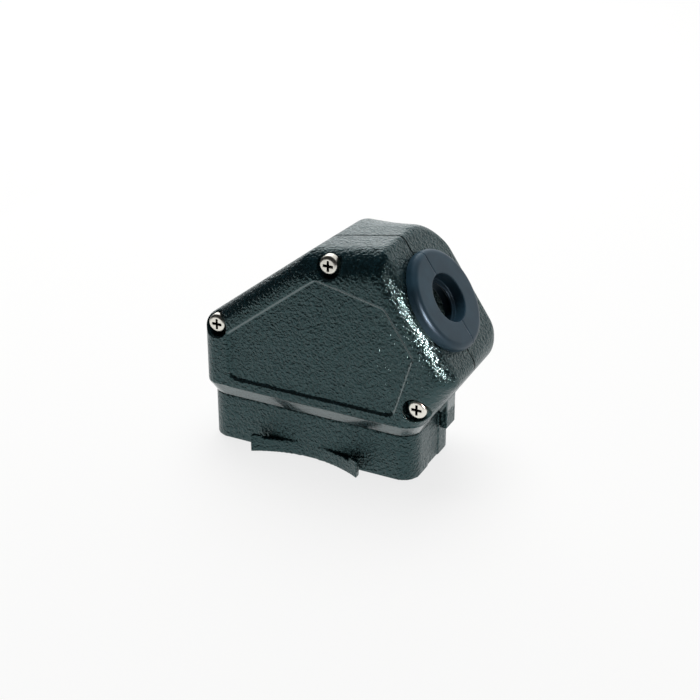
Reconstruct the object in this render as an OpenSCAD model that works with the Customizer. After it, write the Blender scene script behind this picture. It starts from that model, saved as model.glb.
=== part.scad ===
// Angled split hood for a rectangular industrial connector.
// Two cast half shells close on a lower frame and clamp a two-part rubber cable grommet.
// X runs along the hood, Y across it, Z up. The frame's lower edge lies on Z = 0.
// The shells meet on the plane Y = 0 and the cable leaves towards +X and +Z.

/* [Frame] */
// Length of the frame's collar
frame_l = 94; // [90:0.5:100]
// Depth of the frame's collar
frame_d = 40; // [39:0.5:44]
// Height of the collar below the shells
frame_h = 20.6; // [18:0.2:24]
// Radius of the collar's upright corners
frame_r = 8; // [5:0.5:10]
// Thickness of the collar's wall
frame_wall = 3.2; // [2.6:0.1:3.6]
// Thickness of the neck that stands up into the shells
neck_wall = 2.6; // [2:0.1:3]
// Height of the neck above the collar
neck_h = 8.6; // [8:0.2:12]
// Step from the collar's end wall in to the neck
neck_step_x = 2.2; // [1.6:0.1:3]
// Step from the collar's side wall in to the neck
neck_step_y = 0.8; // [0.6:0.1:1.4]
// How far the retaining rim stands out of the neck
rim_out = 1.2; // [0.8:0.1:1.4]
// Height of the rim's lower face above the collar
rim_lift = 4.2; // [3:0.2:5]
// Thickness of the rim
rim_h = 2.4; // [1.6:0.2:3]
// Thickness of the sealing ring on top of the rim
seal_h = 1.4; // [1:0.1:1.6]

/* [Insert seat] */
// Spacing of the insert's fixing screws along the hood
insert_pitch_x = 77.5; // [74:0.5:79]
// Spacing of the insert's fixing screws across the hood
insert_pitch_y = 27; // [25:0.5:28]
// Core hole for the M4 fixing screws
insert_core_d = 3.3; // [2.8:0.1:3.6]
// Depth of the core holes
insert_core_deep = 9; // [6:0.5:11]
// Diameter of the screw bosses
insert_boss_d = 8.4; // [7.5:0.1:9.5]
// Height of the bosses' lower faces above the frame's lower edge
insert_seat_z = 13.6; // [11:0.2:15]

/* [Locking bow] */
// Length of the bow along the frame
bow_l = 49; // [40:0.5:56]
// How far the bow's ends stand off the wall
bow_out = 6.2; // [4:0.2:8]
// Thickness of the bow's web
bow_web = 2.6; // [2:0.1:4]
// Height of the bow's web
bow_h = 6.2; // [5:0.2:8]
// Height of the bow's end noses
bow_nose_h = 7.6; // [6:0.2:10]
// Length of an end nose along the frame
bow_nose_l = 4.4; // [3:0.2:6]

/* [End tab] */
// Width of the rear shell's tab at the frame's cable end
tab_w = 8.6; // [6:0.1:10]
// Height of the tab's lower face
tab_z = 13; // [10:0.5:16]
// Distance of the tab's near face from the middle plane
tab_y = 6; // [4:0.5:7]
// Depth of the plain recess in the frame's end wall
key_deep = 0.5; // [0.3:0.1:0.8]
// Distance of the recess's near edge from the middle plane
key_y = 4.8; // [3:0.2:8]

/* [Shells] */
// Depth of the front shell, measured from the middle plane
front_d = 23.2; // [23:0.1:26]
// Depth of the rear shell, measured from the middle plane
rear_d = 29; // [25:0.1:30]
// Place of the plain end wall
left_x = -48; // [-50:0.2:-48]
// Place of the shells' lower corner below the cable nose
right_x = 50.3; // [50.3:0.1:52]
// Height of the sloped skirt that runs in to the frame
skirt_h = 6; // [4:0.2:8]
// Slope of the roof
roof_tilt = 38.3; // [34:0.1:42]
// Height of the roof's line above the origin
roof_z = 92.3; // [88:0.1:96]
// Slope of the ridge above the cable nose
ridge_tilt = 10.4; // [4:0.1:14]
// Height of the ridge's line above the origin
ridge_z = 92.5; // [92.4:0.1:95]
// Slope of the face that carries the cable grommet
cable_tilt = 56.3; // [50:0.1:62]
// Distance of the cable face from the origin
cable_dist = 80.9; // [79:0.1:84]
// Slope of the nose's underside
under_tilt = 56; // [50:0.1:62]
// Thickness of the shells' walls
shell_wall = 3.2; // [2.8:0.1:3.6]
// Height of the solid foot that grips the frame's neck
foot_h = 11; // [10.8:0.2:13]
// Radius of the edge along the plain end wall
edge_left_r = 6; // [4:0.5:8]
// Radius of the edge along the roof
edge_roof_r = 9; // [6:0.5:11]
// Radius of the edge along the ridge
edge_ridge_r = 12.5; // [10:0.5:18]
// Radius of the edge along the cable face
edge_cable_r = 8; // [6:0.5:10]
// Radius of the edge along the underside
edge_under_r = 9; // [6:0.5:11]
// Radius of the rear edge along the ridge, where the roof meets it
rear_ridge_r = 7.5; // [5:0.5:12]
// Radius of the rear edge along the ridge, at the cable face
rear_nose_r = 20; // [12:0.5:22]
// Radius of the rear edge along the cable face
rear_cable_r = 3.5; // [3:0.5:8]
// Angle at which the roof falls away to the rear
roof_fall = 3.5; // [0:0.1:5]

/* [Panel] */
// How far the plain panel is sunk in the front face
panel_deep = 0.8; // [0.4:0.1:1]
// Width of the slope from the face down to the panel
panel_slope_w = 1.2; // [0.6:0.1:2]
// Distance of the panel's upper edge from the roof
panel_roof_gap = 9.6; // [9:0.2:14]
// Distance of the panel's edge from the cable face
panel_cable_gap = 9; // [8:0.2:12]
// Slope of the panel's edge below the ridge, falling towards the cable
panel_top_tilt = 12; // [8:0.5:16]
// Height of that edge's line above the origin
panel_top_z = 84.6; // [80:0.1:86]
// Place of the panel's upright edge at the plain end
panel_left_x = -36.4; // [-38:0.2:-32]
// Place of the panel's lower corner at the cable end
panel_right_x = 39.4; // [36:0.2:42]
// Lean of the panel's edge above that corner
panel_right_tilt = 16.5; // [10:0.5:22]
// Height of the panel's lower edge
panel_bottom_z = 30; // [29.6:0.1:34]
// Radius of the panel's two lower corners
panel_r = 4; // [2:0.5:6]

/* [Screws] */
// Diameter of the screws' thread
screw_d = 4; // [3.5:0.1:4.5]
// Diameter of the pan heads
screw_head_d = 8; // [7:0.1:9]
// Height of the pan heads
screw_head_h = 3.8; // [2.4:0.1:4.4]
// Length below the head
screw_l = 28; // [24:0.5:30]
// Width of the cross recess
screw_cross_w = 1; // [0.8:0.1:1.4]
// Span of the cross recess
screw_cross_l = 4.4; // [3.6:0.1:5]
// Depth of the cross recess
screw_cross_deep = 1.7; // [1:0.1:2.2]
// Diameter of the round pocket around a head
pocket_d = 10.8; // [9.8:0.1:12]
// Place of the pockets' floors, measured out from the middle plane
pocket_floor = 17.6; // [16:0.1:19]
// Wall of the cup around a pocket
cup_wall = 1.2; // [1:0.1:2]
// Thickness of the cup's floor
cup_floor = 2.4; // [2:0.1:4]
// Diameter of the screw bosses
boss_d = 10; // [9:0.1:11]
// Left screw's distance from the plain end wall
left_screw_x = 6.4; // [6:0.1:8]
// Left screw's distance from the roof
left_screw_roof = 4.8; // [4.4:0.1:6]
// Top screw's place along the hood
top_screw_x = 9.8; // [8:0.1:12]
// Top screw's distance below the ridge
top_screw_ridge = 4.9; // [4.6:0.1:6]
// Right screw's distance from the end wall
right_screw_x = 1.8; // [1.6:0.1:6]
// Right screw's height above the skirt
right_screw_z = 8.5; // [8.4:0.1:11]

/* [Grommet] */
// Outer diameter of the grommet's flange
flange_d = 42.5; // [40:0.1:44]
// How far the flange stands out of the cable face
flange_out = 4.6; // [3:0.1:6]
// Radius of the flange's rounded shoulder
flange_r = 2.6; // [1.5:0.1:2.8]
// Diameter of the grommet's neck in the shells
grommet_neck_d = 33; // [31:0.1:35]
// Diameter of the flange inside the shells
inner_flange_d = 38; // [36:0.1:40]
// Thickness of the flange inside the shells
inner_flange_h = 2.6; // [2:0.1:4]
// Diameter of the cable hole
cable_d = 20.4; // [16:0.1:24]
// Diameter of the thin sealing lip inside the cable hole
lip_d = 17.2; // [14:0.1:20]
// Thickness of the sealing lip
lip_h = 1.2; // [0.8:0.1:2]
// Diameter of the round land under the flange
land_d = 41; // [38:0.1:42]

/* [Seam seal] */
// Width of the sealing cord between the shells
cord_w = 1.4; // [1:0.1:1.8]
// Depth of the sealing cord
cord_deep = 1.4; // [1:0.1:2]

/* [Fits] */
// Clearance around the frame's neck and rim
neck_gap = 0.15; // [0.1:0.05:0.3]
// Clearance around the grommet
rubber_gap = 0.1; // [0.05:0.05:0.2]
// Radial clearance of the screws in the front shell
screw_gap = 0.25; // [0.15:0.05:0.4]
// Radial clearance of the screws in the rear shell's threads
thread_gap = 0.05; // [0.05:0.05:0.1]

/* [Hidden] */
eps = 0.01;
far = 200;
round_fn = 96;

// Heights of the stacked rings, from the frame upwards
skirt_z = frame_h + skirt_h;
rim_z = frame_h + rim_lift;
seal_z = rim_z + rim_h;
neck_z = frame_h + neck_h;
foot_z = frame_h + foot_h;
under_dist = sin(under_tilt) * right_x - cos(under_tilt) * skirt_z;

// The hood's outline as lines: outward normal x and z, distance, then the edge radius
// at the front and, at the rear, at the line's two ends
outline = [
    [-1, 0, -left_x, edge_left_r, edge_left_r, edge_left_r],
    [-sin(roof_tilt), cos(roof_tilt), roof_z * cos(roof_tilt), edge_roof_r, edge_roof_r, edge_roof_r],
    [-sin(ridge_tilt), cos(ridge_tilt), ridge_z * cos(ridge_tilt), edge_ridge_r, rear_ridge_r, rear_nose_r],
    [sin(cable_tilt), cos(cable_tilt), cable_dist, edge_cable_r, rear_cable_r, rear_cable_r],
    [sin(under_tilt), -cos(under_tilt), under_dist, edge_under_r, edge_under_r, edge_under_r],
    [0, -1, -skirt_z, 0, 0, 0]
];
edge_count = len(outline);
bottom_edge = edge_count - 1;
roof_edge = 1;
// Rounding of each corner, seen from the front, starting between end wall and roof
corner_r = [3, 6, 3.6, 5, 0.6, 0.6];
// How much rounder each corner is at the rear face
corner_grow = [0, 0, 4, 5, 0, 0];
arc_steps = 6;
// Share of the edge rounding at each cut through the depth
slice_steps = [0, 0.2, 0.38, 0.54, 0.68, 0.8, 0.89, 0.95, 0.985, 1];

function depth_at(y) = y < 0 ? front_d : rear_d;
function edge_inset(r, y) =
    let (over = max(0, abs(y) - (depth_at(y) - r))) r - sqrt(max(0, r * r - over * over));
function meet(a, b, da, db) =
    let (det = a[0] * b[1] - a[1] * b[0])
    [(da * b[1] - db * a[1]) / det, (a[0] * db - b[0] * da) / det];
function base_corner(i) =
    let (a = outline[i % edge_count], b = outline[(i + 1) % edge_count])
    meet(a, b, a[2], b[2]);
// Line i of the outline at depth y, shrunk by inset: normal x and z, distance
function edge_line(i, y, inset) =
    let (
        row = outline[i],
        out = [row[0], row[1]],
        from = base_corner(i + edge_count - 1) - out * edge_inset(y < 0 ? row[3] : row[4], y),
        to = base_corner(i) - out * edge_inset(y < 0 ? row[3] : row[5], y),
        along = (to - from) / norm(to - from),
        side = [-along[1], along[0]],
        fall = i == roof_edge ? tan(roof_fall) * (y + front_d - edge_roof_r) : 0
    )
    [side[0], side[1], side * from - fall - (i == bottom_edge ? 0 : inset)];
function corner(i, y, inset) =
    let (a = edge_line(i, y, inset), b = edge_line((i + 1) % edge_count, y, inset))
    meet(a, b, a[2], b[2]);
function on_edge(i, x, inset) = (outline[i][2] - inset - outline[i][0] * x) / outline[i][1];

// Middle of the cable face, in the plane Y = 0
cable_mid = (corner(2, 0, 0) + corner(3, 0, 0)) / 2;

// Edges of the panel: normal x and z, distance, radius of the corner that follows
panel_edges = [
    [-1, 0, -panel_left_x, 2],
    [outline[1][0], outline[1][1], outline[1][2] - panel_roof_gap, 2.5],
    [sin(panel_top_tilt), cos(panel_top_tilt), panel_top_z * cos(panel_top_tilt), 2.5],
    [outline[3][0], outline[3][1], outline[3][2] - panel_cable_gap, 2.5],
    [
        cos(panel_right_tilt),
        -sin(panel_right_tilt),
        panel_right_x * cos(panel_right_tilt) - panel_bottom_z * sin(panel_right_tilt),
        panel_r
    ],
    [0, -1, -panel_bottom_z, panel_r]
];

// Screw axes: place along the hood and height
screw_left_at = [left_x + left_screw_x, on_edge(1, left_x + left_screw_x, left_screw_roof)];
screw_top_at = [top_screw_x, on_edge(2, top_screw_x, top_screw_ridge)];
screw_right_at = [right_x - right_screw_x, skirt_z + right_screw_z];
screws = [screw_left_at, screw_top_at, screw_right_at];

cast_paint = "#2b3033";
nickel = "#d8d8d2";
rubber = "#3c464b";
seal_rubber = "#222628";

// A plate with round corners, standing from z up
module round_plate(l, d, r, z, h) {
    translate([0, 0, z])
        linear_extrude(h)
            union() {
                square([l - 2 * r, d], center = true);
                square([l, d - 2 * r], center = true);
                for (sx = [-1, 1], sy = [-1, 1])
                    translate([sx * (l / 2 - r), sy * (d / 2 - r)])
                        circle(r, $fn = round_fn);
            }
}

// Everything on one side of the middle plane: side -1 is the front, 1 the rear
module half_space(side) {
    translate([0, side * far / 2, 0])
        cube([2 * far, far, 2 * far], center = true);
}

// Points of a rounded corner: two neighbouring edges, their distances, the radius
function round_corner(a, b, da, db, r) =
    let (
        mid = meet(a, b, da - r, db - r),
        from = atan2(a[1], a[0]),
        turn = atan2(b[1], b[0]) - from,
        sweep = turn > 0 ? turn - 360 : turn
    )
    [
        for (k = [0 : arc_steps])
            let (at = from + sweep * k / arc_steps)
            mid + r * [cos(at), sin(at)]
    ];

// The hood's outline at depth y, shrunk by inset, with its lower edge at bottom
function hood_ring(y, inset, bottom) = [
    for (i = [0 : edge_count - 1])
        let (
            j = (i + 1) % edge_count,
            lift = bottom - skirt_z,
            a = edge_line(i, y, inset),
            b = edge_line(j, y, inset),
            da = a[2] - (i == bottom_edge ? lift : 0),
            db = b[2] - (j == bottom_edge ? lift : 0),
            r = corner_r[i] + corner_grow[i] * max(0, y) / rear_d - inset
        )
        for (at = round_corner(a, b, da, db, max(0.4, r)))
            [at[0], y * (depth_at(y) - inset) / depth_at(y), at[1]]
];

// A rounded rectangle in plan at height z, from x0 to x1 and y0 to y1
function plan_ring(x0, x1, y0, y1, r0, r1, z) = [
    for (turn = [0, 90, 180, 270], k = [0 : arc_steps])
        let (
            at = turn + 90 * k / arc_steps,
            r = turn == 0 || turn == 270 ? r1 : r0,
            mid_x = turn == 0 || turn == 270 ? x1 - r1 : x0 + r0,
            mid_y = turn < 180 ? y1 - r : y0 + r
        )
        [mid_x + r * cos(at), mid_y + r * sin(at), z]
];

// A closed skin over a row of rings that have equally many points
module loft(rings) {
    n = len(rings[0]);
    last = len(rings) - 1;
    polyhedron(
        points = [for (ring = rings) each ring],
        faces = concat(
            [[for (k = [0 : n - 1]) k]],
            [
                for (j = [0 : last - 1], k = [0 : n - 1])
                    let (a = j * n + k, b = j * n + (k + 1) % n)
                    each [[a, a + n, b + n], [a, b + n, b]]
            ],
            [[for (k = [n - 1 : -1 : 0]) last * n + k]]
        )
    );
}

// The hood's solid form, shrunk all round by inset, from its lower edge up
module hood_form(inset, bottom) {
    steps = len(slice_steps) - 1;
    shares = concat([for (k = [steps : -1 : 1]) -slice_steps[k]], slice_steps);
    loft([for (share = shares) hood_ring(share * depth_at(share), inset, bottom)]);
}

// Sloped skirt between the shells' lower edge and the frame's collar
module skirt() {
    loft([
        plan_ring(-frame_l / 2, frame_l / 2, -frame_d / 2, frame_d / 2, frame_r, frame_r, frame_h),
        plan_ring(left_x, right_x, -front_d, rear_d, edge_left_r, edge_under_r, skirt_z)
    ]);
}

// Outline of the neck, grown all round
module neck_plate(grow, z, h) {
    l = frame_l - 2 * neck_step_x;
    d = frame_d - 2 * neck_step_y;
    round_plate(l + 2 * grow, d + 2 * grow, frame_r - neck_step_x + grow, z, h);
}

// Room for the frame's neck, rim and sealing ring
module neck_room() {
    neck_plate(neck_gap, frame_h - eps, foot_h + 2 * eps);
    neck_plate(rim_out + neck_gap, rim_z - neck_gap, rim_h + seal_h + neck_gap);
}

// Things placed on the cable axis, with z pointing out of the cable face
module on_cable_axis() {
    translate([cable_mid[0], 0, cable_mid[1]])
        rotate([0, cable_tilt, 0])
            children();
}

// Things placed on a screw's axis, with z pointing to the rear
module on_screw_axis(at) {
    translate([at[0], 0, at[1]])
        rotate([-90, 0, 0])
            children();
}

// One half of the shell's casting before the screw holes
module half_shell(side) {
    flange_room_h = inner_flange_h + 2 * rubber_gap;
    intersection() {
        difference() {
            union() {
                difference() {
                    union() {
                        hood_form(0, skirt_z);
                        skirt();
                    }
                    hood_form(shell_wall, foot_z);
                }
                intersection() {
                    hood_form(0, skirt_z);
                    for (at = screws)
                        on_screw_axis(at) {
                            cylinder(d = boss_d, h = 2 * pocket_floor, center = true, $fn = round_fn);
                            translate([0, 0, cup_floor - pocket_floor - far])
                                cylinder(d = pocket_d + 2 * cup_wall, h = far, $fn = round_fn);
                        }
                }
                on_cable_axis()
                    translate([0, 0, -shell_wall])
                        cylinder(d = land_d, h = shell_wall, $fn = round_fn);
            }
            neck_room();
            on_cable_axis()
                translate([0, 0, -far / 4])
                    cylinder(d = grommet_neck_d + 2 * rubber_gap, h = far / 2, $fn = round_fn);
            on_cable_axis()
                translate([0, 0, -shell_wall - flange_room_h])
                    cylinder(d = inner_flange_d + 2 * rubber_gap, h = flange_room_h, $fn = round_fn);
        }
        half_space(side);
    }
}

// Flat outline of the hood, shrunk by inset, standing on the middle plane
module seam_outline(inset) {
    polygon([for (i = [0 : edge_count - 1]) corner(i, 0, inset)]);
}

// Path of the sealing cord, on the rear side of the middle plane
module cord_path(gap) {
    mid = shell_wall / 2;
    difference() {
        translate([0, cord_deep + gap, 0])
            rotate([90, 0, 0])
                linear_extrude(cord_deep + gap)
                    difference() {
                        seam_outline(mid - cord_w / 2 - gap);
                        seam_outline(mid + cord_w / 2 + gap);
                    }
        translate([-far, -far, -far])
            cube([2 * far, 2 * far, far + foot_z]);
        on_cable_axis()
            translate([0, 0, -far / 4])
                cylinder(d = land_d, h = far / 2, $fn = round_fn);
        for (at = screws)
            on_screw_axis(at)
                cylinder(d = boss_d, h = far, center = true, $fn = round_fn);
    }
}

// Outline of the sunk panel at depth y, shrunk by inset
function panel_ring(y, inset) = [
    for (i = [0 : len(panel_edges) - 1])
        let (a = panel_edges[i], b = panel_edges[(i + 1) % len(panel_edges)])
        for (at = round_corner(a, b, a[2] - inset, b[2] - inset, a[3]))
            [at[0], y, at[1]]
];

// Room for the plain sunk panel in the front face, with sloped walls
module panel() {
    loft([
        panel_ring(-front_d - 1, 0),
        panel_ring(-front_d, 0),
        panel_ring(-front_d + panel_deep, panel_slope_w)
    ]);
}

// Cast collar that takes the contact insert and the locking lever
module frame() {
    inner_l = frame_l - 2 * frame_wall;
    inner_d = frame_d - 2 * frame_wall;
    neck_inner = -neck_wall;
    color(cast_paint)
        difference() {
            union() {
                difference() {
                    union() {
                        round_plate(frame_l, frame_d, frame_r, 0, frame_h);
                        neck_plate(0, frame_h - eps, neck_h + eps);
                        neck_plate(rim_out, rim_z, rim_h);
                    }
                    round_plate(inner_l, inner_d, frame_r - frame_wall, -eps, insert_seat_z + eps);
                    neck_plate(neck_inner, insert_seat_z - 2 * eps, far);
                    end_recess();
                }
                insert_bosses();
                for (side = [-1, 1])
                    locking_bow(side);
            }
            for (sx = [-1, 1], sy = [-1, 1])
                translate([sx * insert_pitch_x / 2, sy * insert_pitch_y / 2, insert_seat_z - eps])
                    cylinder(d = insert_core_d, h = insert_core_deep, $fn = round_fn);
        }
}

// Four bosses for the insert's fixing screws, trimmed by the collar
module insert_bosses() {
    intersection() {
        for (sx = [-1, 1], sy = [-1, 1])
            translate([sx * insert_pitch_x / 2, sy * insert_pitch_y / 2, insert_seat_z])
                cylinder(d = insert_boss_d, h = neck_z - insert_seat_z, $fn = round_fn);
        neck_plate(-eps, 0, neck_z);
    }
}

// Curved bow low on the collar's long side; the lever's pegs ride behind its ends
module locking_bow(side) {
    half_l = bow_l / 2;
    wall_y = frame_d / 2;
    front_r = (half_l * half_l + bow_out * bow_out) / (2 * bow_out);
    mirror([0, side < 0 ? 1 : 0, 0])
        intersection() {
            union() {
                difference() {
                    translate([0, wall_y + front_r, 0])
                        cylinder(r = front_r + bow_web, h = bow_h, $fn = 2 * round_fn);
                    translate([0, wall_y + front_r, -eps])
                        cylinder(r = front_r, h = far, $fn = 2 * round_fn);
                }
                for (sx = [-1, 1])
                    translate([sx * (half_l - bow_nose_l / 2), wall_y + bow_out / 2, bow_nose_h / 2])
                        difference() {
                            cube([bow_nose_l, bow_out, bow_nose_h], center = true);
                            translate([-sx * (half_l - bow_nose_l / 2), front_r - bow_out / 2, 0])
                                cylinder(r = front_r, h = far, center = true, $fn = 2 * round_fn);
                            translate([0, -bow_web, 0])
                                cube([2 * bow_nose_l, bow_out, far], center = true);
                        }
            }
            translate([-half_l, wall_y - frame_wall / 2, 0])
                cube([bow_l, bow_out + frame_wall / 2, far]);
        }
}

// Shallow recess in the collar's end wall, beside the rear shell's tab
module end_recess() {
    translate([frame_l / 2 - key_deep, -key_y, -eps])
        cube([far, key_y + tab_y, frame_h - key_deep]);
}

// Flat sealing ring between the frame's rim and the shells
module frame_seal() {
    color(seal_rubber)
        difference() {
            neck_plate(rim_out, seal_z, seal_h);
            neck_plate(0, seal_z - eps, seal_h + 2 * eps);
        }
}

// Front half shell, with the plain panel and the screw pockets
module front_shell() {
    color(cast_paint)
        difference() {
            half_shell(-1);
            panel();
            for (at = screws)
                on_screw_axis(at) {
                    cylinder(d = screw_d + 2 * screw_gap, h = far, center = true, $fn = round_fn);
                    translate([0, 0, -far - pocket_floor])
                        cylinder(d = pocket_d, h = far, $fn = round_fn);
                }
        }
}

// Tab that reaches down over the collar's cable end
module end_tab() {
    translate([frame_l / 2 + neck_gap, tab_y, tab_z])
        cube([right_x - frame_l / 2 - neck_gap, tab_w, skirt_z - tab_z]);
}

// Rear half shell, with tapped bosses, the end tab and the groove for the sealing cord
module rear_shell() {
    tapped_deep = screw_l - pocket_floor + 1;
    color(cast_paint)
        difference() {
            union() {
                half_shell(1);
                end_tab();
            }
            for (at = screws)
                on_screw_axis(at)
                    translate([0, 0, -eps])
                        cylinder(d = screw_d + 2 * thread_gap, h = tapped_deep, $fn = round_fn);
            translate([0, -eps, 0])
                cord_path(thread_gap);
        }
}

// Sealing cord that lies in the rear shell's edge
module seam_seal() {
    color(seal_rubber)
        cord_path(0);
}

// Section of the grommet from its axis outwards, with z out of the cable face
module grommet_section() {
    flange = flange_d / 2;
    neck = grommet_neck_d / 2;
    back = -shell_wall - rubber_gap - inner_flange_h;
    hole = cable_d / 2;
    difference() {
        union() {
            intersection() {
                translate([0, rubber_gap])
                    square([flange, flange_out - rubber_gap]);
                union() {
                    square([flange - flange_r, flange_out]);
                    square([flange, flange_out - flange_r]);
                    translate([flange - flange_r, flange_out - flange_r])
                        circle(flange_r, $fn = round_fn);
                }
            }
            translate([0, back])
                square([neck, flange_out - back]);
            translate([0, back])
                square([inner_flange_d / 2, inner_flange_h]);
        }
        translate([-eps, back - eps])
            square([lip_d / 2 + eps, far]);
        translate([-eps, lip_h - shell_wall / 2])
            square([hole + eps, far]);
        translate([-eps, back - eps])
            square([hole + eps, -shell_wall / 2 - back + eps]);
    }
}

// One half of the rubber grommet
module half_grommet(side) {
    color(rubber)
        intersection() {
            on_cable_axis()
                rotate_extrude($fn = round_fn)
                    grommet_section();
            half_space(side);
        }
}

module grommet_front() { half_grommet(-1); }
module grommet_rear() { half_grommet(1); }

// Pan-head machine screw with a cross recess
module machine_screw(at) {
    head_r = screw_head_d / 2;
    dome = screw_head_h * 0.35;
    color(nickel)
        on_screw_axis(at)
            translate([0, 0, -pocket_floor])
                difference() {
                    union() {
                        cylinder(d = screw_d, h = screw_l, $fn = round_fn);
                        rotate_extrude($fn = round_fn)
                            intersection() {
                                translate([0, -screw_head_h])
                                    square([head_r, screw_head_h]);
                                union() {
                                    translate([0, dome - screw_head_h])
                                        square([head_r, screw_head_h]);
                                    translate([head_r - dome, dome - screw_head_h])
                                        circle(dome, $fn = round_fn);
                                    translate([0, -screw_head_h])
                                        square([head_r - dome, screw_head_h]);
                                }
                            }
                    }
                    for (turn = [0, 90])
                        rotate([0, 0, turn])
                            translate([0, 0, -screw_head_h])
                                cube([screw_cross_l, screw_cross_w, 2 * screw_cross_deep], center = true);
                }
}

module screw_left() { machine_screw(screw_left_at); }
module screw_top() { machine_screw(screw_top_at); }
module screw_right() { machine_screw(screw_right_at); }

frame();
frame_seal();
front_shell();
rear_shell();
seam_seal();
grommet_front();
grommet_rear();
screw_left();
screw_top();
screw_right();
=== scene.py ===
"""Looks of the angled connector hood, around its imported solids. Metres, +Z up, X along the hood."""

import math

import bmesh
import bpy
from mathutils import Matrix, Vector
from mathutils.bvhtree import BVHTree


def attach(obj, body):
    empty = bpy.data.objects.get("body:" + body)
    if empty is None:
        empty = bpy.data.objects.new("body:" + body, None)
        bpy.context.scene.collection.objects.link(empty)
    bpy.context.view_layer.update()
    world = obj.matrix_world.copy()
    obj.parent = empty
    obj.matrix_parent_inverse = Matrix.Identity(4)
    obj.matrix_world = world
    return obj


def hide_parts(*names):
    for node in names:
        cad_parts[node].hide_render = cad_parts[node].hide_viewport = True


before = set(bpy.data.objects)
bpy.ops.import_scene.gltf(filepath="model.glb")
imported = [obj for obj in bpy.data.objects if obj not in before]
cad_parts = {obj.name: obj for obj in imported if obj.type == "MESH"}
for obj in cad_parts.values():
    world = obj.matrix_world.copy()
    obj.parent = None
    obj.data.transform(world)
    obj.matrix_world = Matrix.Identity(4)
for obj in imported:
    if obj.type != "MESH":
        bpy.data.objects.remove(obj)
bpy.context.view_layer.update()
mm = 0.001


# Lower frame
# The collar that plugs on the mating housing, with a locking bow on each long side and bosses
# for the contact insert. One light-metal die casting, powder coated black with a fine wrinkle.
FRAME_SKIN = 0.42 * mm


def linear(code):
    """The linear colour of an sRGB hex value."""
    parts = [int(code[i : i + 2], 16) / 255 for i in (1, 3, 5)]
    return [p / 12.92 if p <= 0.04045 else ((p + 0.055) / 1.055) ** 2.4 for p in parts] + [1.0]


def add(tree, kind, settings=None, links=None):
    """Adds a node, sets its properties and sockets, and links its inputs."""
    made = tree.nodes.new(kind)
    for name, value in (settings or {}).items():
        if isinstance(name, int) or name in made.inputs:
            made.inputs[name].default_value = value
        else:
            setattr(made, name, value)
    for name, source in (links or {}).items():
        tree.links.new(source, made.inputs[name])
    return made


def rounded_copy(node, name, skin, passes, keep, settle=None):
    """A CAD node with the soft edges of a cast or moulded piece: skinned anew, settled, smoothed."""
    shape = bmesh.new()
    shape.from_mesh(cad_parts[node].data)
    bmesh.ops.remove_doubles(shape, verts=shape.verts, dist=0.001 * mm)
    mesh = bpy.data.meshes.new(name)
    shape.to_mesh(mesh)
    shape.free()
    piece = bpy.data.objects.new(name, mesh)
    bpy.context.scene.collection.objects.link(piece)
    new_skin = piece.modifiers.new("new skin", "REMESH")
    new_skin.mode = "VOXEL"
    new_skin.voxel_size = skin
    graph = bpy.context.evaluated_depsgraph_get()
    piece.data = bpy.data.meshes.new_from_object(piece.evaluated_get(graph))
    piece.modifiers.clear()
    if settle is not None:
        for corner in piece.data.vertices:
            corner.co = settle(corner.co)
    soft = piece.modifiers.new("soft edges", "SMOOTH")
    soft.factor = 0.5
    soft.iterations = passes
    fewer = piece.modifiers.new("fewer faces", "DECIMATE")
    fewer.ratio = keep
    graph = bpy.context.evaluated_depsgraph_get()
    piece.data = bpy.data.meshes.new_from_object(piece.evaluated_get(graph))
    piece.modifiers.clear()
    piece.data.polygons.foreach_set("use_smooth", [True] * len(piece.data.polygons))
    piece.data.name = name
    return piece


# Wrinkle powder coat: an epoxy film that draws together as it is baked, in ridges about a
# millimetre apart. The ridges' tops are half glossy, so edges and grazing faces sparkle, and they are
# painted a lighter tone as a painted highlight.
COAT_COLOUR = "#0c1a1e"
# The second coat tone is a painted highlight, laid on the ridges' tops
COAT_PAINTED_HIGHLIGHT = "#152a30"
COAT_SHEEN = "#c4fbfc"
RIDGE = 1.2 * mm
FINE_RIDGE = 0.5 * mm
SMOOTH_FILM = "smooth_film"
powder_coat = bpy.data.materials.new("black wrinkle powder coat")
powder_coat.use_nodes = True
tree = powder_coat.node_tree
coat = tree.nodes["Principled BSDF"]
coat.inputs["IOR"].default_value = 1.66
coat.inputs["Specular Tint"].default_value = linear(COAT_SHEEN)
place = add(tree, "ShaderNodeTexCoord")
ridges = add(
    tree,
    "ShaderNodeTexNoise",
    {"Scale": 1 / RIDGE, "Detail": 1.5, "Roughness": 0.5, "Distortion": 0.6},
    {"Vector": place.outputs["Object"]},
)
fine = add(
    tree,
    "ShaderNodeTexVoronoi",
    {"feature": "SMOOTH_F1", "Scale": 1 / FINE_RIDGE / 2, "Smoothness": 0.8},
    {"Vector": place.outputs["Object"]},
)
height = add(
    tree,
    "ShaderNodeMath",
    {"operation": "MULTIPLY_ADD", 1: 0.2},
    {0: fine.outputs["Distance"], 2: ridges.outputs["Fac"]},
)
# Painted highlight: the higher a ridge stands, the lighter its colour, as if its top caught the light
highlit_ridge_tops = add(tree, "ShaderNodeValToRGB", links={"Fac": ridges.outputs["Fac"]})
highlit_ridge_tops.color_ramp.elements[0].position = 0.38
highlit_ridge_tops.color_ramp.elements[0].color = linear(COAT_COLOUR)
highlit_ridge_tops.color_ramp.elements[1].position = 0.66
highlit_ridge_tops.color_ramp.elements[1].color = linear(COAT_PAINTED_HIGHLIGHT)
tree.links.new(highlit_ridge_tops.outputs["Color"], coat.inputs["Base Color"])
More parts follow.
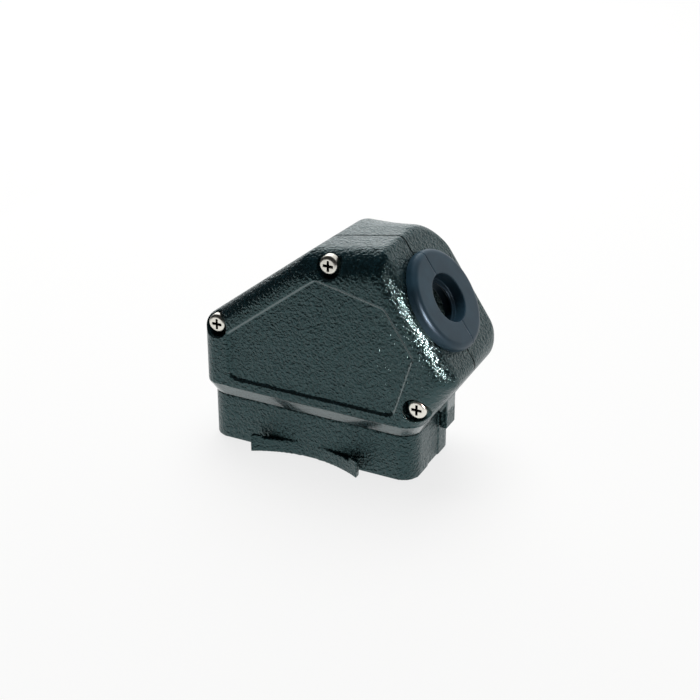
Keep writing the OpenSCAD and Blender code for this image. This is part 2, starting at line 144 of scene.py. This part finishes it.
# Rounded edges, slopes and the shells' skirt take less powder: the film there is flatter and
# glossier, and where it is flattest it dries to a clear top
film = add(tree, "ShaderNodeAttribute", {"attribute_name": SMOOTH_FILM})
relief = add(tree, "ShaderNodeMath", {"operation": "SUBTRACT", 0: 1.0}, {1: film.outputs["Fac"]})
gloss = add(
    tree,
    "ShaderNodeMapRange",
    {"From Max": 0.5, "To Min": 0.3, "To Max": 0.16},
    {"Value": film.outputs["Fac"]},
)
tree.links.new(gloss.outputs["Result"], coat.inputs["Roughness"])
clear = add(tree, "ShaderNodeMapRange", {"From Min": 0.5}, {"Value": film.outputs["Fac"]})
tree.links.new(clear.outputs["Result"], coat.inputs["Coat Weight"])
coat.inputs["Coat Roughness"].default_value = 0.08
coat.inputs["Coat IOR"].default_value = 1.7
wrinkle = add(
    tree,
    "ShaderNodeBump",
    {"Distance": 0.85 * mm},
    {"Height": height.outputs["Value"], "Strength": relief.outputs["Value"]},
)
tree.links.new(wrinkle.outputs["Normal"], coat.inputs["Normal"])

lower_frame = rounded_copy("frame", "lower_frame", FRAME_SKIN, 3, 0.5)
lower_frame.data.materials.append(powder_coat)
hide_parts("frame")
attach(lower_frame, "root")


# Frame seal
# A flat ring of black sealing rubber that lies on the frame's rim, inside the shells' foot.
# It is cut from sheet and only held by the shells.
SEAL_COLOUR = "#222628"
seal_rubber = bpy.data.materials.new("black sealing rubber")
seal_rubber.use_nodes = True
tree = seal_rubber.node_tree
seal = tree.nodes["Principled BSDF"]
seal.inputs["Base Color"].default_value = linear(SEAL_COLOUR)
seal.inputs["Roughness"].default_value = 0.7
seal.inputs["IOR"].default_value = 1.5
frame_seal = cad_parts["frame_seal"]
frame_seal.data.materials.clear()
frame_seal.data.materials.append(seal_rubber)


# Half shells
# The two halves of the hood meet on an upright plane and grip the frame and the grommet.
# Each is a light-metal die casting in the same coat; the front one has a bare sunk panel.
SHELL_SKIN = 0.38 * mm
SEAM_GAP = 0.8 * mm
GROOVE_DEPTH = 1.1 * mm
FRONT_REACH = 0.22 * mm
REAR_REACH = 0.6 * mm
FRONT_DEPTH = 23.2
REAR_DEPTH = 29.0
LEFT_X = -48.0
RIGHT_X = 50.3
SKIRT_Z = 26.6
ROOF_TILT = math.radians(38.3)
ROOF_FALL = math.tan(math.radians(3.5))
ROOF_Z = 92.3
RIDGE_TILT = math.radians(10.4)
RIDGE_Z = 92.5
CABLE_TILT = math.radians(56.3)
CABLE_DISTANCE = 80.9
UNDER_TILT = math.radians(56.0)
ROOF_EDGE_R = 9.0
CORNER_R = [3, 6, 3.6, 5, 0.6, 0.6]
CORNER_GROWS = [0, 0, 4, 5, 0, 0]
ARC_STEPS = 14
DEPTH_STEPS = 44
SKIRT_FROM = 20.7 * mm
SKIRT_TO = 26.4 * mm
SLOPE_FROM = (0.1 - FRONT_DEPTH) * mm
SLOPE_TO = (0.72 - FRONT_DEPTH) * mm
SLOPE_LEAN = -0.92
LEVEL_LEAN = 0.14
EDGE_FILM = 0.36
SKIRT_FILM = 0.8
SLOPE_FILM = 0.9
# Each row is one straight side of the hood: normal x and z, distance, then the radius of its
# edge at the front and, at the rear, at its two ends
under_distance = math.sin(UNDER_TILT) * RIGHT_X - math.cos(UNDER_TILT) * SKIRT_Z
sides = [
    (-1, 0, -LEFT_X, 6, 6, 6),
    (-math.sin(ROOF_TILT), math.cos(ROOF_TILT), ROOF_Z * math.cos(ROOF_TILT), 9, 9, 9),
    (-math.sin(RIDGE_TILT), math.cos(RIDGE_TILT), RIDGE_Z * math.cos(RIDGE_TILT), 12.5, 7.5, 20),
    (math.sin(CABLE_TILT), math.cos(CABLE_TILT), CABLE_DISTANCE, 8, 3.5, 3.5),
    (math.sin(UNDER_TILT), -math.cos(UNDER_TILT), under_distance, 9, 9, 9),
    (0, -1, -SKIRT_Z, 0, 0, 0),
]


def meet(a, b, back=0.0):
    """Where two sides meet, each moved in by the same distance."""
    turn = a[0] * b[1] - a[1] * b[0]
    da, db = a[2] - back, b[2] - back
    return Vector(((da * b[1] - db * a[1]) / turn, (a[0] * db - b[0] * da) / turn))


def edge_drop(r, y):
    """How far a rounded edge of radius r has dropped at depth y."""
    over = max(0.0, abs(y) - ((FRONT_DEPTH if y < 0 else REAR_DEPTH) - r))
    return r - math.sqrt(max(0.0, r * r - over * over))


def side_at(i, y):
    """Side i of the hood's outline at depth y."""
    nx, nz, _, front_r, rear_from_r, rear_to_r = sides[i]
    out = Vector((nx, nz))
    start = meet(sides[i - 1], sides[i]) - out * edge_drop(front_r if y < 0 else rear_from_r, y)
    end = meet(sides[i], sides[(i + 1) % 6]) - out * edge_drop(front_r if y < 0 else rear_to_r, y)
    along = (end - start).normalized()
    normal = Vector((-along.y, along.x))
    fall = ROOF_FALL * (y + FRONT_DEPTH - ROOF_EDGE_R) if i == 1 else 0.0
    return normal.x, normal.y, normal.dot(start) - fall


def hood_ring(y):
    """The hood's outline at depth y, with its rounded corners."""
    ring = []
    for i in range(6):
        a, b = side_at(i, y), side_at((i + 1) % 6, y)
        r = CORNER_R[i] + CORNER_GROWS[i] * max(0.0, y) / REAR_DEPTH
        mid = meet(a, b, r)
        start = math.atan2(a[1], a[0])
        sweep = math.atan2(b[1], b[0]) - start
        sweep -= 2 * math.pi if sweep > 0 else 0
        for k in range(ARC_STEPS + 1):
            turn = start + sweep * k / ARC_STEPS
            ring.append(Vector((mid.x + r * math.cos(turn), y, mid.y + r * math.sin(turn))) * mm)
    return ring


def hood_form(depth, largest_r, way):
    """The smooth outer face of one half, as a tree to lay points on."""
    turns = [0.5 * math.pi * k / DEPTH_STEPS for k in range(DEPTH_STEPS + 1)]
    flat = (depth - largest_r) / 4
    depths = [flat * k for k in range(4)] + [depth - largest_r + largest_r * math.sin(t) for t in turns]
    rings = [hood_ring(way * d) for d in depths]
    n = len(rings[0])
    points = [p for ring in rings for p in ring]
    faces = [
        (j * n + k, j * n + (k + 1) % n, (j + 1) * n + (k + 1) % n, (j + 1) * n + k)
        for j in range(len(rings) - 1)
        for k in range(n)
    ]
    return BVHTree.FromPolygons(points, faces)


def settle_on(form, reach, way):
    """Lays points close to the form on it, and opens the edge of the seam to a shallow groove."""

    def settle(at):
        on, _, _, off = form.find_nearest(at, GROOVE_DEPTH)
        if on is None:
            return at
        at = on if off < reach else at.copy()
        at.y = way * max(way * at.y, SEAM_GAP / 2)
        return at

    return settle


front_form = hood_form(FRONT_DEPTH, 12.5, -1)
front_shell = rounded_copy(
    "front_shell", "front_half_shell", SHELL_SKIN, 1, 0.5, settle_on(front_form, FRONT_REACH, -1)
)
rear_form = hood_form(REAR_DEPTH, 20, 1)
rear_shell = rounded_copy(
    "rear_shell", "rear_half_shell", SHELL_SKIN, 3, 0.4, settle_on(rear_form, REAR_REACH, 1)
)


def film_at(corner, lean):
    """How smooth the film is on the skirt, on the panel's slopes and on rounded edges."""
    if SKIRT_FROM < corner.z < SKIRT_TO:
        return SKIRT_FILM
    if SLOPE_FROM < corner.y < SLOPE_TO and lean.y > SLOPE_LEAN:
        return SLOPE_FILM if abs(lean.z) > LEVEL_LEAN else 0.0
    return EDGE_FILM * min(1.0, 2.2 * abs(lean.y) * math.sqrt(max(0.0, 1 - lean.y**2)))


for shell, node in ((front_shell, "front_shell"), (rear_shell, "rear_shell")):
    shell.data.materials.append(powder_coat)
    spread = shell.data.attributes.new(SMOOTH_FILM, "FLOAT", "POINT")
    spread.data.foreach_set("value", [film_at(v.co, v.normal) for v in shell.data.vertices])
    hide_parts(node)
    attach(shell, "root")


# Seam seal
# Round-edged cord of the same sealing rubber, pressed in a groove along the rear shell's edge.
# It is cut at the screw bosses and at the grommet.
seam_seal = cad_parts["seam_seal"]
seam_seal.data.materials.clear()
seam_seal.data.materials.append(seal_rubber)


# Cable grommet
# A rubber bush in two like halves, clamped in the round opening where the shells meet.
# Moulded in smooth matt rubber; a thin lip inside the hole seals on the cable.
GROMMET_SKIN = 0.3 * mm
RUBBER_COLOUR = "#1f3340"
# The second rubber tone is a painted highlight, laid on the rubber in lighter patches
RUBBER_PAINTED_HIGHLIGHT = "#294250"
RUBBER_SHEEN = "#b0d8f0"
HIGHLIGHT_PATCH_SIZE = 9 * mm
MOULD_GRAIN = 0.45 * mm
grommet_rubber = bpy.data.materials.new("moulded grommet rubber")
grommet_rubber.use_nodes = True
tree = grommet_rubber.node_tree
rubber = tree.nodes["Principled BSDF"]
rubber.inputs["Roughness"].default_value = 0.42
rubber.inputs["IOR"].default_value = 1.5
rubber.inputs["Specular Tint"].default_value = linear(RUBBER_SHEEN)
place = add(tree, "ShaderNodeTexCoord")
highlight_patches = add(
    tree,
    "ShaderNodeTexNoise",
    {"Scale": 1 / HIGHLIGHT_PATCH_SIZE, "Detail": 3.0},
    {"Vector": place.outputs["Object"]},
)
# Painted highlight: noise mixes the rubber's own colour with the lighter painted tone
tone = add(tree, "ShaderNodeValToRGB", links={"Fac": highlight_patches.outputs["Fac"]})
tone.color_ramp.elements[0].position = 0.35
tone.color_ramp.elements[0].color = linear(RUBBER_COLOUR)
tone.color_ramp.elements[1].position = 0.7
tone.color_ramp.elements[1].color = linear(RUBBER_PAINTED_HIGHLIGHT)
tree.links.new(tone.outputs["Color"], rubber.inputs["Base Color"])
grain = add(
    tree,
    "ShaderNodeTexNoise",
    {"Scale": 1 / MOULD_GRAIN, "Detail": 1.0},
    {"Vector": place.outputs["Object"]},
)
skin = add(
    tree,
    "ShaderNodeBump",
    {"Strength": 0.12, "Distance": 0.05 * mm},
    {"Height": grain.outputs["Fac"]},
)
tree.links.new(skin.outputs["Normal"], rubber.inputs["Normal"])
for node in ("grommet_front", "grommet_rear"):
    half = rounded_copy(node, node + "_half", GROMMET_SKIN, 3, 0.6)
    half.data.materials.append(grommet_rubber)
    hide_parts(node)
    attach(half, "root")


# Pan-head screws
# Three M4 machine screws that go through the front shell and pull the rear shell up to it.
# Cold-headed steel, nickel plated, with a punched cross recess.
SCREW_SKIN = 0.13 * mm
NICKEL_COLOUR = "#e6e4da"
TURNING = 0.35 * mm
nickel_plate = bpy.data.materials.new("nickel plated steel")
nickel_plate.use_nodes = True
tree = nickel_plate.node_tree
nickel = tree.nodes["Principled BSDF"]
nickel.inputs["Base Color"].default_value = linear(NICKEL_COLOUR)
nickel.inputs["Metallic"].default_value = 1.0
place = add(tree, "ShaderNodeTexCoord")
speck = add(
    tree,
    "ShaderNodeTexNoise",
    {"Scale": 1 / TURNING, "Detail": 2.0},
    {"Vector": place.outputs["Object"]},
)
dull = add(
    tree,
    "ShaderNodeMapRange",
    {"To Min": 0.24, "To Max": 0.42},
    {"Value": speck.outputs["Fac"]},
)
tree.links.new(dull.outputs["Result"], nickel.inputs["Roughness"])
# Inside the cross the plating is thin and dull, and its colour is painted nearly black: painted shade in the
# recess
RECESS_SHADE_COLOUR = "#242422"
RECESS_R = 2.3 * mm
RECESS_EDGE = 0.3 * mm
RECESS_DEPTH = 2.2 * mm
dull_shaded_recess = bpy.data.materials.new("dull nickel, painted shade in the recess")
dull_shaded_recess.use_nodes = True
recess = dull_shaded_recess.node_tree.nodes["Principled BSDF"]
recess.inputs["Base Color"].default_value = linear(RECESS_SHADE_COLOUR)
recess.inputs["Metallic"].default_value = 1.0
recess.inputs["Roughness"].default_value = 0.6
# Faces inside the cross recess get the darkened material, which is painted shade
for node in ("screw_left", "screw_top", "screw_right"):
    screw = rounded_copy(node, node + "_pan_head", SCREW_SKIN, 2, 0.5)
    screw.data.materials.append(nickel_plate)
    screw.data.materials.append(dull_shaded_recess)
    spots = [spot.co for spot in screw.data.vertices]
    top = min(spot.y for spot in spots)
    axis_x = (min(spot.x for spot in spots) + max(spot.x for spot in spots)) / 2
    axis_z = (min(spot.z for spot in spots) + max(spot.z for spot in spots)) / 2
    for face in screw.data.polygons:
        from_axis = math.hypot(face.center.x - axis_x, face.center.z - axis_z)
        down = face.center.y - top
        face.material_index = int(from_axis < RECESS_R and RECESS_EDGE < down < RECESS_DEPTH)
    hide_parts(node)
    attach(screw, "root")


# Studio
# A white table top and a white room behind it, lit from above and behind by a soft box.
# The room in front is dim, so faces that tip up to the front stay dark, and a small lamp
# on the right draws a bright line down the edge of the cable face.
TABLE_COLOUR = "#f2f2f0"
table_paint = bpy.data.materials.new("white table laminate")
table_paint.use_nodes = True
tree = table_paint.node_tree
table_top = tree.nodes["Principled BSDF"]
table_top.inputs["Base Color"].default_value = linear(TABLE_COLOUR)
table_top.inputs["Roughness"].default_value = 0.8
path = add(tree, "ShaderNodeLightPath")
mirrored = add(
    tree,
    "ShaderNodeMath",
    {"operation": "MAXIMUM"},
    {0: path.outputs["Is Glossy Ray"], 1: path.outputs["Is Transmission Ray"]},
)
part_seen = add(
    tree,
    "ShaderNodeMath",
    {"operation": "MULTIPLY_ADD", 1: 0.8},
    {0: path.outputs["Is Camera Ray"], 2: mirrored.outputs["Value"]},
)
white = add(tree, "ShaderNodeEmission", {"Color": (1, 1, 1, 1), "Strength": 1.0})
lit = add(
    tree,
    "ShaderNodeMixShader",
    links={0: part_seen.outputs["Value"], 1: table_top.outputs["BSDF"], 2: white.outputs["Emission"]},
)
tree.links.new(lit.outputs["Shader"], tree.nodes["Material Output"].inputs["Surface"])
# Dark cards stand left and in front, so gloss sees the table only up to them: a second, smaller
# plane at the same level is all that shows in gloss, and the large one is all that the rest sees
TABLE_SIZE = 6
CARD_LEFT_X = -0.28
CARD_FRONT_Y = -0.3
mirrored_at = (CARD_LEFT_X + TABLE_SIZE / 2, CARD_FRONT_Y + TABLE_SIZE / 2, 0)
for name, at, for_gloss in (("table_top", (0, 0, 0), False), ("table_in_gloss", mirrored_at, True)):
    bpy.ops.mesh.primitive_plane_add(size=TABLE_SIZE, location=at)
    table = bpy.context.object
    table.name = name
    table.visible_glossy = for_gloss
    table.visible_camera = not for_gloss
    table.visible_diffuse = not for_gloss
    table.visible_shadow = not for_gloss
    table.data.materials.append(table_paint)

# The room is white behind the object, in gloss too, and dim in front of it
world = bpy.data.worlds.new("white room")
bpy.context.scene.world = world
world.use_nodes = True
tree = world.node_tree
tree.nodes.clear()
path = add(tree, "ShaderNodeLightPath")
way = add(tree, "ShaderNodeTexCoord")
split = add(tree, "ShaderNodeSeparateXYZ", links={"Vector": way.outputs["Generated"]})
behind = add(
    tree,
    "ShaderNodeMapRange",
    {"From Min": 0.4, "From Max": 0.8, "To Min": 0.03, "To Max": 1.0},
    {"Value": split.outputs["Y"]},
)
seen = add(
    tree,
    "ShaderNodeMath",
    {"operation": "MAXIMUM"},
    {0: path.outputs["Is Camera Ray"], 1: path.outputs["Is Transmission Ray"]},
)
strength = add(
    tree,
    "ShaderNodeMath",
    {"operation": "MAXIMUM"},
    {0: seen.outputs["Value"], 1: behind.outputs["Result"]},
)
room = add(tree, "ShaderNodeBackground", {"Color": (1, 1, 1, 1)}, {"Strength": strength.outputs["Value"]})
add(tree, "ShaderNodeOutputWorld", links={"Surface": room.outputs["Background"]})


def soft_box(name, place, aim, size, power, lights, mirrored, beam=180, colour="#ffffff"):
    """A square area lamp that faces a point, and lights, shows in gloss, or both, in a beam of degrees."""
    lamp = bpy.data.lights.new(name, "AREA")
    lamp.shape = "SQUARE"
    lamp.size = size
    lamp.energy = power
    lamp.spread = math.radians(beam)
    lamp.color = linear(colour)[:3]
    stand = bpy.data.objects.new(name, lamp)
    stand.location = place
    stand.rotation_euler = (Vector(aim) - Vector(place)).to_track_quat("-Z", "Y").to_euler()
    stand.visible_camera = False
    stand.visible_diffuse = lights
    stand.visible_glossy = mirrored
    bpy.context.scene.collection.objects.link(stand)


soft_box("overhead_soft_box", (-0.2, 0.35, 1.1), (0, 0, 0.03), 0.9, 13, True, False)
soft_box("back_soft_box", (-0.5, 0.8, 0.4), (0, 0, 0.08), 0.7, 2, True, True)
# The edge lamp has a narrow beam and a warm tone, so its glints come out white on the tinted coat
soft_box("edge_lamp", (0.309, -0.224, 0.176), (0.05, -0.018, 0.064), 0.02, 0.016, False, True, 10, "#ffe6e4")


# Camera
# Fitted to the frame's edges and the seam in the photograph, with no shift of the lens.
# The photograph is 700 pixels wide; its focal length came out at 1600 pixels.
IMAGE_WIDTH = 700
FOCAL_PIXELS = 1600
AZIMUTH = math.radians(26.38)
ELEVATION = math.radians(26.86)
CAMERA_AT = (0.2696, -0.5258, 0.3403)
camera_data = bpy.data.cameras.new("photo camera")
camera_data.sensor_width = 36
camera_data.lens = camera_data.sensor_width * FOCAL_PIXELS / IMAGE_WIDTH
camera = bpy.data.objects.new("photo camera", camera_data)
camera.location = CAMERA_AT
camera.rotation_euler = (math.radians(90) - ELEVATION, 0, AZIMUTH)
bpy.context.scene.collection.objects.link(camera)
bpy.context.scene.camera = camera
bpy.context.scene.view_settings.view_transform = "Standard"
